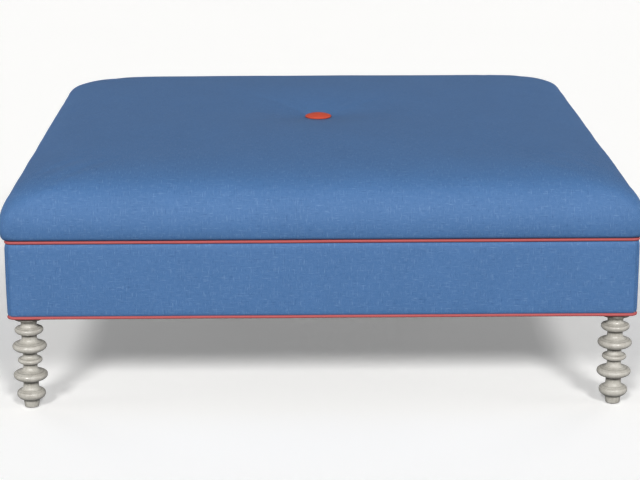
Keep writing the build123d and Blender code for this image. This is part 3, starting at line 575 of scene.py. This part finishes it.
def makeCushion():
    verts, faces, place, ringOf, last = cushionMesh()
    obj = newObject("cushion", verts, faces, blueLinen)
    faceOutward(obj)
    putVectors(obj, "clothPlace", place)
    ringOf = np.array(ringOf)
    rest = np.array(verts)
    across = np.hypot(rest[:, 0], rest[:, 1])
    held = [int(i) for i in np.nonzero((ringOf >= last - 1) | (across < cushion["buttonHold"]))[0]]
    free = np.ones(len(rest))
    free[held] = 0
    normals = np.empty(len(rest) * 3)
    obj.data.vertices.foreach_get("normal", normals)
    normals = normals.reshape(-1, 3)
    rest -= normals * (cushion["sink"] * free)[:, None]
    obj.data.vertices.foreach_set("co", rest.ravel())
    rest = settle(obj, held, rest, normals)
    random.seed(cushion["seed"])
    pleats = [(k, random.uniform(0, math.tau), random.uniform(0.5, 1.0)) for k in cushion["pleats"]]
    lift = np.zeros(len(rest))
    for i, (x, y, z) in enumerate(rest):
        if ringOf[i] > last:
            continue
        r = across[i]
        turn = math.atan2(y, x)
        fold = sum(size * math.cos(k * turn + start) for k, start, size in pleats) / cushion["pleatsSize"]
        fade = math.exp(-max(r - cushion["buttonHold"], 0) / cushion["foldReach"])
        near = fade * ramp(r, *cushion["foldFrom"])
        softTop = ramp(r, *cushion["softFrom"])
        rolled = cushion["rollOnTop"] if z > cushion["rollBelow"] else 1.0
        lift[i] = cushion["foldDepth"] * fold * near
        lift[i] += cushion["top"] * softTop * unevenness(x, y, z, cushion["topSize"], 3.1)
        lift[i] += cushion["roll"] * softTop * unevenness(x, y, z, cushion["rollSize"], 8.4) * rolled
        lift[i] *= ramp(z, *cushion["plainBelow"])
    rest = rest + normals * lift[:, None]
    obj.data.vertices.foreach_set("co", rest.ravel())
    subdivide(obj)
    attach(obj, "root")
    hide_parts("seat_cover", "batting", "foam_core")


makeCushion()
print("cushion made")

# apron: four linen panels over felt, with their edges turned in
apron = {
    "thickness": 1.2 * mm,
    "step": 6.0 * mm,
    "endStep": 3 * mm,  # closer columns at the corners
    "endColumns": 6,
    "bulge": 2.0 * mm,
    "bulgeReach": 60 * mm,
    "ripple": 0.35 * mm,
    "rippleSize": 0.075,
    "turnIn": 0.9 * mm,  # the corner edges are turned under and drawn together
    "turnReach": 1.6 * mm,
    "faceDepth": 0.5 * mm,  # what lies further in belongs to the rolled edges
    # inwards from the face, and below the top edge or above the bottom edge
    "topRoll": [
        (9.0, 0.2), (5.0, 0.0), (3.2, 0.1), (1.5, 0.6), (0.8, 1.8),
        (0.2, 3.5), (-0.3, 5.8), (-0.7, 9.0), (-0.8, 12.5),
    ],
    "bottomRoll": [
        (-0.5, 8.0), (-0.2, 5.0), (0.4, 2.4), (1.4, 0.9),
        (3.0, 0.2), (6.0, 0.0), (14.0, 0.0), (24.0, 0.0),
    ],
    "rows": 16,
}


def apronProfile():
    top, bottom = block["apronTop"], block["apronBottom"]
    points = [(-inward * mm, top - down * mm) for inward, down in apron["topRoll"]]
    firstOut, first = points[-1]
    finalOut, final = -apron["bottomRoll"][0][0] * mm, bottom + apron["bottomRoll"][0][1] * mm
    for i in range(1, apron["rows"]):
        share = i / apron["rows"]
        points.append((firstOut + (finalOut - firstOut) * share, first + (final - first) * share))
    points += [(-inward * mm, bottom + up * mm) for inward, up in apron["bottomRoll"]]
    return points


def makeApron(name, side):
    profile = apronProfile()
    half, corner = block["half"], block["corner"]
    reach = half - corner + corner * math.pi / 4
    columns = round(2 * reach / apron["step"])
    shares = [2 * i / columns - 1 for i in range(columns + 1)]
    closer = [1 - apron["endStep"] * i / reach for i in range(1, apron["endColumns"] + 1)]
    shares = sorted(set(shares + [s * share for s in (-1, 1) for share in closer]))
    verts, place = [], []
    height = block["apronTop"] - block["apronBottom"]
    for share in shares:
        endGap = (1 - abs(share)) * reach
        turnIn = apron["turnIn"] * math.exp(-endGap / apron["turnReach"])
        length = 0.0
        for j, (out, level) in enumerate(profile):
            if j:
                length += math.hypot(out - profile[j - 1][0], level - profile[j - 1][1])
            middle = max(0.0, 1 - ((level - block["apronBottom"]) / height * 2 - 1) ** 2)
            onFace = 1.0 if out > -apron["faceDepth"] else 0.0
            puff = apron["bulge"] * middle**0.6 * min(1, endGap / apron["bulgeReach"])
            along, at, leanAlong, leanOut = sidePoint(half, corner, share)
            wave = unevenness(along, side * 3.7, level, apron["rippleSize"], 2.2)
            grow = out + onFace * (puff + apron["ripple"] * wave * middle**0.5) - turnIn
            along, at = along + leanAlong * grow, at + leanOut * grow
            if out < -corner:  # past the corner's middle the return is mitred
                along = max(-at, min(at, along))
            x, y = onSide(side, along, at)
            verts.append((x, y, level))
            place.append((share * reach, -length, 0.0))
    rows = len(profile)
    faces = []
    for i in range(len(shares) - 1):
        for j in range(rows - 1):
            a = i * rows + j
            faces.append((a, a + 1, a + rows + 1, a + rows))
    obj = newObject("apron" + name.capitalize(), verts, faces, blueLinen)
    putVectors(obj, "clothPlace", place)
    thicken(obj, apron["thickness"], -1)
    subdivide(obj)
    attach(obj, "root")
    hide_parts("apron_" + name)


for side, name in enumerate(("front", "right", "back", "left")):
    makeApron(name, side)
print("apron made")

# welts: bias-cut cotton over cord
welt = {
    "upperRadius": 3.15 * mm,
    "lowerRadius": 2.9 * mm,
    "centre": 608.0 * mm,
    "corner": 13.0 * mm,
    "step": 2.6 * mm,
    "around": 16,
    "crinkle": 0.10 * mm,
    "crinkleSize": 0.0055,
    "wander": 0.35 * mm,
    "wanderSize": 0.14,
    "legReach": 30 * mm,
    "legDroop": 0.3 * mm,
    "legSwell": 0.10,
    "joinPlace": 40 * mm,  # on the back, from the middle
    "joinWidth": 5 * mm,
    "joinSwell": 0.16,
}


def makeWelt(name, level, lower):
    half, corner, plain = welt["centre"], welt["corner"], welt["lowerRadius" if lower else "upperRadius"]
    reach = half - corner + corner * math.pi / 4
    count = round(2 * reach / welt["step"])
    around = welt["around"]
    verts, place = [], []
    length = 0.0
    for side in range(4):
        for i in range(count):
            share = 2 * i / count - 1
            along, out, leanAlong, leanOut = sidePoint(half, corner, share)
            legGap = abs(abs(along) - block["legCentre"])
            nearLeg = math.exp(-((legGap / welt["legReach"]) ** 2)) if lower else 0.0
            radius = plain * (1 + welt["legSwell"] * nearLeg)
            if side == 2:  # the ends are joined at the back
                nearJoin = math.exp(-(((along - welt["joinPlace"]) / welt["joinWidth"]) ** 2))
                radius *= 1 + welt["joinSwell"] * nearJoin
            wander = welt["wander"] * unevenness(along, side * 2.3, level, welt["wanderSize"], 5.0)
            sag = welt["legDroop"] * nearLeg - wander
            for j in range(around):
                turn = math.tau * j / around
                slant = length + turn * plain
                swell = welt["crinkle"] * unevenness(slant, turn * 0.01, side * 1.7, welt["crinkleSize"], 1.0)
                grow = (radius + swell) * math.cos(turn)
                x, y = onSide(side, along + leanAlong * grow, out + leanOut * grow)
                verts.append((x, y, level - sag + (radius + swell) * math.sin(turn)))
                place.append((length, turn * radius, 0.0))
            length += 2 * reach / count
    total = 4 * count
    faces = []
    for i in range(total):
        for j in range(around):
            a, b = i * around, ((i + 1) % total) * around
            k = (j + 1) % around
            faces.append((a + j, b + j, b + k, a + k))
    obj = newObject(name + "Welt", verts, faces, coralBias)
    faceOutward(obj)
    putVectors(obj, "clothPlace", place)
    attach(obj, "root")
    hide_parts(name + "_welt", name + "_welt_cord")


makeWelt("upper", block["upperWelt"], False)
makeWelt("lower", block["lowerWelt"], True)
print("welts made")

# button: a covered dome with its cloth gathered underneath
button = {
    "radius": 28.5 * mm,
    "base": 464.8 * mm,
    "edge": 3.5 * mm,
    "dome": 6.0 * mm,
    "round": 1.9 * mm,
    "domeRings": 24,
    "gatherFrom": 17,  # the dome's ring where the gathers begin to show
    "rim": [(0.45, 0.5), (0.85, 1.4), (1.0, 2.6)],  # share of the way out, and drop in mm
    "wall": [0.35, 0.7, 0.92],  # shares of the way down
    "tuck": 1.2,  # how far the wall draws in at its foot, in mm
    "under": [(0.90, 0.0), (0.78, 0.0), (0.7, 0.5)],  # share of the radius, and mm over the base
    "around": 96,
    "gathers": 22,
    "gatherDrift": 0.8,  # the gathers are not evenly spaced
    "gatherDepth": 0.35 * mm,
}


def makeButton():
    radius, base, edge, dome = (button[key] for key in ("radius", "base", "edge", "dome"))
    sphere = (radius**2 + dome**2) / (2 * dome)
    top = base + edge + dome
    profile = []  # radius, height, how much of the gathers shows
    rings, first = button["domeRings"], button["gatherFrom"]
    for i in range(1, rings + 1):
        r = (radius - button["round"] * 0.55) * i / rings
        gather = max(0, (i - first) / (rings - first)) * 0.35
        profile.append((r, top - sphere + math.sqrt(sphere**2 - r**2), gather))
    r0, z0, _ = profile[-1]
    for share, drop in button["rim"]:
        profile.append((r0 + (radius - r0) * share, z0 - drop * mm * 0.7, 0.5 + share * 0.4))
    for share in button["wall"]:
        profile.append((radius - share**3 * button["tuck"] * mm, base + edge * 0.7 * (1 - share), 1.0))
    profile += [(radius * share, base + up * mm, 1.0) for share, up in button["under"]]
    verts, place = [(0.0, 0.0, top)], [(0.0, 0.0, 0.0)]
    around = button["around"]
    run, last = 0.0, (0.0, top)
    for r, z, gather in profile:
        run += math.hypot(r - last[0], z - last[1])
        last = (r, z)
        for j in range(around):
            turn = math.tau * j / around
            wave = math.sin(button["gathers"] * turn + button["gatherDrift"] * math.sin(3 * turn))
            crimp = button["gatherDepth"] * gather * wave
            verts.append(((r + crimp) * math.cos(turn), (r + crimp) * math.sin(turn), z))
            place.append((run * math.cos(turn), run * math.sin(turn), 0.0))
    faces = [(0, 1 + j, 1 + (j + 1) % around) for j in range(around)]
    for i in range(len(profile) - 1):
        for j in range(around):
            a, b, k = 1 + i * around, 1 + (i + 1) * around, (j + 1) % around
            faces.append((a + j, b + j, b + k, a + k))
    obj = newObject("button", verts, faces, coralCotton)
    putVectors(obj, "clothPlace", place)
    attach(obj, "root")
    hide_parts("button_covering")


makeButton()
print("button made")

# legs: turned beads with fine rings left by the gouge
leg = {
    "radius": 33.5 * mm,
    "height": 195.0 * mm,
    "footBottom": 1.5 * mm,
    "footHole": 1.3 * mm,
    "footRadius": 0.42,
    "footTop": 0.478,
    "footShares": (0.2, 0.4, 0.6, 0.8, 0.93, 1.0),
    "edgeTurns": (0.4, 0.8, 1.2, 1.57),
    "collar": 0.85,
    "collarLevel": 0.93,
    "beadSteps": 12,
    "waistSteps": 24,
    "collarSteps": 10,
    # radius, its height, underside, waist above, waist radius: shares of the leg's radius and height
    "beads": [
        (0.836, 0.144, 0.090, 0.241, 0.450),
        (1.000, 0.340, 0.287, 0.436, 0.412),
        (0.716, 0.497, 0.464, 0.554, 0.415),
        (1.000, 0.642, 0.589, 0.738, 0.448),
        (0.836, 0.815, 0.770, 0.880, 0.457),
    ],
    "pulls": (0.62, 0.80),
    "step": 0.95 * mm,
    "around": 64,
    "ringSpacing": 6.2 * mm,
    "ringDepth": 0.30 * mm,
    "ringSharpness": 7,
    # painted shade and glaze in the grooves of the rings
    "ringGlaze": 0.62,
    "edgeRound": 1.3 * mm,
}


# the turned outline, from the foot up: radius, height, how much painted shade and glaze darken it there, how
# deep the rings are
def legProfile():
    widest, height = leg["radius"], leg["height"]
    foot, footTop = widest * leg["footRadius"], widest * leg["footTop"]
    edge, low = leg["edgeRound"], leg["footBottom"]
    points = [(leg["footHole"], low, 0.2, 0), (foot * 0.5, low, 0.2, 0), (foot - edge, low, 0.35, 0)]
    for a in leg["edgeTurns"]:
        points.append((foot - edge + edge * math.sin(a), low + edge - edge * math.cos(a), 0.3, 0))
    firstUnder = height * leg["beads"][0][2]
    # the foot is painted darker up towards the first bead: painted shade under it
    for s in leg["footShares"]:
        level = low + edge + (firstUnder - low - edge) * s
        points.append((foot + (footTop - foot) * s, level, 0.12 + 0.55 * s**4, 0))
    for radiusShare, levelShare, underShare, waistShare, waistRadiusShare in leg["beads"]:
        radius, waistRadius = widest * radiusShare, widest * waistRadiusShare
        level, under, waist = height * levelShare, height * underShare, height * waistShare
        startRadius, z0 = points[-1][:2]
        # necks and bead undersides are painted darkest under each bead: painted shade, with glaze
        if z0 < under - 1e-6:  # a short plain neck below the bead
            for s in (0.25, 0.5, 0.75, 1.0):
                points.append((startRadius, z0 + (under - z0) * s, 0.25 + 0.75 * s, 0))
        steps = leg["beadSteps"]
        for i in range(1, steps + 1):
            a = math.pi / 2 * i / steps
            r = startRadius + (radius - startRadius) * math.sin(a)
            points.append((r, level - (level - under) * math.cos(a), max(0.0, 0.95 - 1.25 * i / steps), 0))
        pull0, pull1 = (share * (waist - level) for share in leg["pulls"])
        curve = [(radius, level), (radius, level + pull0), (waistRadius, waist - pull1), (waistRadius, waist)]
        for i in range(1, leg["waistSteps"] + 1):
            t = i / leg["waistSteps"]
            weights = ((1 - t) ** 3, 3 * t * (1 - t) ** 2, 3 * t * t * (1 - t), t**3)
            r, z = (sum(w * p[axis] for w, p in zip(weights, curve)) for axis in (0, 1))
            # painted shade, darkest just under the next bead
            shade = 0.10 * math.sin(math.pi * t) + 0.22 * max(0, t - 0.75) * 4
            points.append((r, z, shade, math.sin(math.pi * min(1.0, t * 1.25)) if t < 0.8 else 0))
    collar, collarLevel = widest * leg["collar"], height * leg["collarLevel"]
    endRadius, endLevel = points[-1][:2]
    # the collar is painted darker towards the top: painted shade under the welt
    steps = leg["collarSteps"]
    for i in range(1, steps + 1):
        a = math.pi / 2 * i / steps
        r = collar - (collar - endRadius) * math.cos(a)
        points.append((r, endLevel + (collarLevel - endLevel) * math.sin(a), 0.22 + 0.6 * i / steps, 0))
    points += [(collar, collarLevel + 1.0 * mm, 0.5, 0), (collar, height, 0.5, 0)]
    points.append((collar * 0.3, height, 0.5, 0))
    return points


def makeLeg(name, side):
    x0, y0 = block["legCentre"] * side[0], block["legCentre"] * side[1]
    outline = np.array(legProfile())
    knots = np.concatenate([[0], np.cumsum(np.hypot(np.diff(outline[:, 0]), np.diff(outline[:, 1])))])
    count = round(knots[-1] / leg["step"])
    at = np.linspace(0, knots[-1], count + 1)
    radii, levels, glaze, rings = (np.interp(at, knots, outline[:, i]) for i in range(4))
    groove = rings * (0.5 - 0.5 * np.cos(math.tau * at / leg["ringSpacing"])) ** leg["ringSharpness"]
    lean = np.gradient(levels, at)
    radii = radii - leg["ringDepth"] * groove * np.maximum(np.abs(lean), 0.35)
    # the ring grooves are painted darker: painted shade with glaze
    glaze = np.clip(glaze + leg["ringGlaze"] * groove, 0, 1)
    around = leg["around"]
    turns = math.tau * np.arange(around) / around
    verts, place = [], []
    shift = side[0] * 3.1, side[1] * 1.7  # so that each leg has fine rings of its own
    for r, z, shade, s in zip(radii, levels, glaze, at):
        for turn in turns:
            verts.append((x0 + r * math.cos(turn), y0 + r * math.sin(turn), z))
            place.append((s + shift[0] + shift[1], 0.0, shade))
    faces = []
    for i in range(len(at) - 1):
        for j in range(around):
            a, b, k = i * around, (i + 1) * around, (j + 1) % around
            faces.append((a + j, a + k, b + k, b + j))
    faces.append(tuple(range(around - 1, -1, -1)))
    faces.append(tuple(range((len(at) - 1) * around, len(at) * around)))
    words = name.split("_")
    obj = newObject("leg" + "".join(w.capitalize() for w in words), verts, faces, legPaint)
    faceOutward(obj)
    putVectors(obj, "turnPlace", place)
    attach(obj, "root")
    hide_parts("leg_" + name)


for name, side in corners.items():
    makeLeg(name, side)
print("legs made")

# dust cover: black cloth stapled under the frame
dust = {
    "half": 598.0 * mm,
    "level": 191.2 * mm,
    "sag": 2.2 * mm,
    "hole": 29.6 * mm,
    "holeSteps": 40,
    "holeGap": 8 * mm,  # no inner point is nearer than this to a hole's edge
    "cell": 24.0 * mm,
    "heldReach": 60 * mm,  # it hangs flat this near to the staples and the legs
    "wrinkle": 0.5 * mm,
    "wrinkleSize": 0.11,
    "thickness": 0.4 * mm,
}


def dustClothMaterial():
    material, tree, shader = newMaterial("dustCloth")
    place = node(tree, "TexCoord").outputs["Object"]
    fibres = stretch(tree, cloud(tree, place, 700.0, 4.0, 0.75), 0.3, 0.7)
    spots = node(tree, "TexVoronoi", {"Vector": place, "Scale": 620.0}).outputs["Distance"]
    dots = stretch(tree, spots, 0.15, 0.5)
    colour = blendColour(tree, fibres, (0.012, 0.012, 0.013, 1), (0.035, 0.035, 0.038, 1))
    tree.links.new(colour, shader.inputs["Base Color"])
    shader.inputs["Roughness"].default_value = 0.9
    tree.links.new(relief(tree, dots, 0.5, 0.3 * mm), shader.inputs["Normal"])
    return material


def fromLeg(x, y):  # how far the nearest leg's axis is
    return math.hypot(abs(x) - block["legCentre"], abs(y) - block["legCentre"])


def makeDustCover():
    half, hole, around = dust["half"], dust["hole"], dust["holeSteps"]
    outline = []
    steps = round(2 * half / dust["cell"])
    for side in range(4):
        for i in range(steps):
            outline.append(onSide(side, -half + 2 * half * i / steps, half))
    points, edges = list(outline), [(i, (i + 1) % len(outline)) for i in range(len(outline))]
    for x, y in corners.values():
        first = len(points)
        for i in range(around):
            turn = math.tau * i / around
            px = x * block["legCentre"] + hole * math.cos(turn)
            py = y * block["legCentre"] + hole * math.sin(turn)
            points.append((px, py))
        edges += [(first + i, first + (i + 1) % around) for i in range(around)]
    for i in range(1, steps):
        for j in range(1, steps):
            x, y = -half + 2 * half * i / steps, -half + 2 * half * j / steps
            if fromLeg(x, y) > hole + dust["holeGap"]:
                points.append((x, y))
    flat, _, triangles, *_ = geometry.delaunay_2d_cdt([Vector(p) for p in points], edges, [], 0, 1e-6)
    kept = []
    for triangle in triangles:
        cx = sum(flat[i].x for i in triangle) / 3
        cy = sum(flat[i].y for i in triangle) / 3
        # the triangles outside the cloth and those in the legs' holes are left out
        if max(abs(cx), abs(cy)) <= half + 1e-6 and fromLeg(cx, cy) >= hole - 0.2 * mm:
            kept.append(tuple(reversed(triangle)))
    verts = []
    for p in flat:
        edgeGap = ramp(half - max(abs(p.x), abs(p.y)), 0.0, dust["heldReach"])
        legGap = ramp(fromLeg(p.x, p.y), hole, dust["heldReach"])
        free = min(edgeGap, legGap)
        spread = max(0.0, (1 - (p.x / half) ** 2) * (1 - (p.y / half) ** 2))
        wave = unevenness(p.x, p.y, 0, dust["wrinkleSize"], 4.0)
        drop = dust["sag"] * spread**0.5 * free + dust["wrinkle"] * free * wave
        verts.append((p.x, p.y, dust["level"] - drop))
    obj = newObject("dustCover", verts, kept, dustClothMaterial())
    thicken(obj, dust["thickness"], 0)
    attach(obj, "root")
    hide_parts("dust_cover")


makeDustCover()
print("dust cover made")

# studio: pale floor, soft lights, and the camera of the photograph
studio = {
    "floor": (0.93, 0.93, 0.925),
    "floorShade": 0.985,
    "floorCloud": 1.3,
    "floorRoughness": 0.75,
    "floorGlow": 0.18,
    "floorSize": 14.0,
    "floorCells": 28,
    "world": 0.11,
    "lampDistance": 6.0,
    # name, degrees round from the front, degrees up, strength, width in degrees, colour
    "lights": [
        ("keyLeft", -18, 31, 0.60, 12, (1.0, 0.99, 0.975)),
        ("keyRight", 18, 31, 0.60, 12, (1.0, 0.99, 0.975)),
        ("sideLeft", -80, 4, 0.34, 30, (0.98, 0.99, 1.0)),
        ("sideRight", 80, 4, 0.34, 30, (0.98, 0.99, 1.0)),
        ("backLeft", -140, 4, 0.36, 30, (1.0, 1.0, 1.0)),
        ("backRight", 140, 4, 0.36, 30, (1.0, 1.0, 1.0)),
    ],
}


def makeFloor():
    size, cells = studio["floorSize"], studio["floorCells"]
    ticks = [size * (2 * i / cells - 1) for i in range(cells + 1)]
    verts = [(x, y, 0.0) for y in ticks for x in ticks]
    faces = []
    for j in range(cells):
        for i in range(cells):
            a = j * (cells + 1) + i
            faces.append((a, a + 1, a + cells + 2, a + cells + 1))
    material, tree, shader = newMaterial("studioFloor")
    place = node(tree, "TexCoord").outputs["Object"]
    pale, shaded = rgb(studio["floor"]), rgb(studio["floor"], studio["floorShade"])
    tone = blendColour(tree, cloud(tree, place, studio["floorCloud"], 3.0), pale, shaded)
    tree.links.new(tone, shader.inputs["Base Color"])
    shader.inputs["Roughness"].default_value = studio["floorRoughness"]
    shader.inputs["Specular IOR Level"].default_value = 0.0
    shader.inputs["Emission Color"].default_value = (1.0, 1.0, 1.0, 1.0)
    shader.inputs["Emission Strength"].default_value = studio["floorGlow"]
    obj = newObject("floor", verts, faces, material)
    obj.visible_diffuse = obj.visible_glossy = False  # a bright floor, without its bounce up onto the cloth


def makeLights():
    for name, bearing, up, strength, width, colour in studio["lights"]:
        data = bpy.data.lights.new(name, "SUN")
        data.energy = strength * math.pi
        data.angle = math.radians(width)
        data.color = colour
        lamp = bpy.data.objects.new(name, data)
        turn, rise = math.radians(bearing), math.radians(up)
        toLamp = Vector((math.sin(turn) * math.cos(rise), -math.cos(turn) * math.cos(rise), math.sin(rise)))
        lamp.location = toLamp * studio["lampDistance"]
        lamp.rotation_euler = (-toLamp).to_track_quat("-Z", "Y").to_euler()
        lamp.visible_glossy = name.startswith("key")  # only the two in front leave glints on the paint
        bpy.context.scene.collection.objects.link(lamp)
    world = bpy.data.worlds.new("studioAir")
    world.use_nodes = True
    background = world.node_tree.nodes["Background"]
    background.inputs["Color"].default_value = (1.0, 1.0, 1.0, 1.0)
    background.inputs["Strength"].default_value = studio["world"]
    bpy.context.scene.world = world


camera = {
    "place": (-0.057, -4.228, 1.296),
    "pitch": 14.724,
    "yaw": 0.848,
    "roll": 0.12,
    "lens": 110.0,
    "sensor": 36.0,
    "clipEnd": 60,
}


def makeCamera():
    data = bpy.data.cameras.new("camera")
    data.sensor_width = camera["sensor"]
    data.lens = camera["lens"]
    data.clip_end = camera["clipEnd"]
    eye = bpy.data.objects.new("camera", data)
    eye.location = camera["place"]
    tilt, roll, yaw = (math.radians(a) for a in (90 - camera["pitch"], camera["roll"], camera["yaw"]))
    eye.rotation_euler = (tilt, roll, -yaw)
    bpy.context.scene.collection.objects.link(eye)
    bpy.context.scene.camera = eye


makeFloor()
makeLights()
makeCamera()
bpy.context.scene.view_settings.view_transform = "Standard"
bpy.context.scene.view_settings.look = "None"
print("studio made")

bpy.context.view_layer.update()
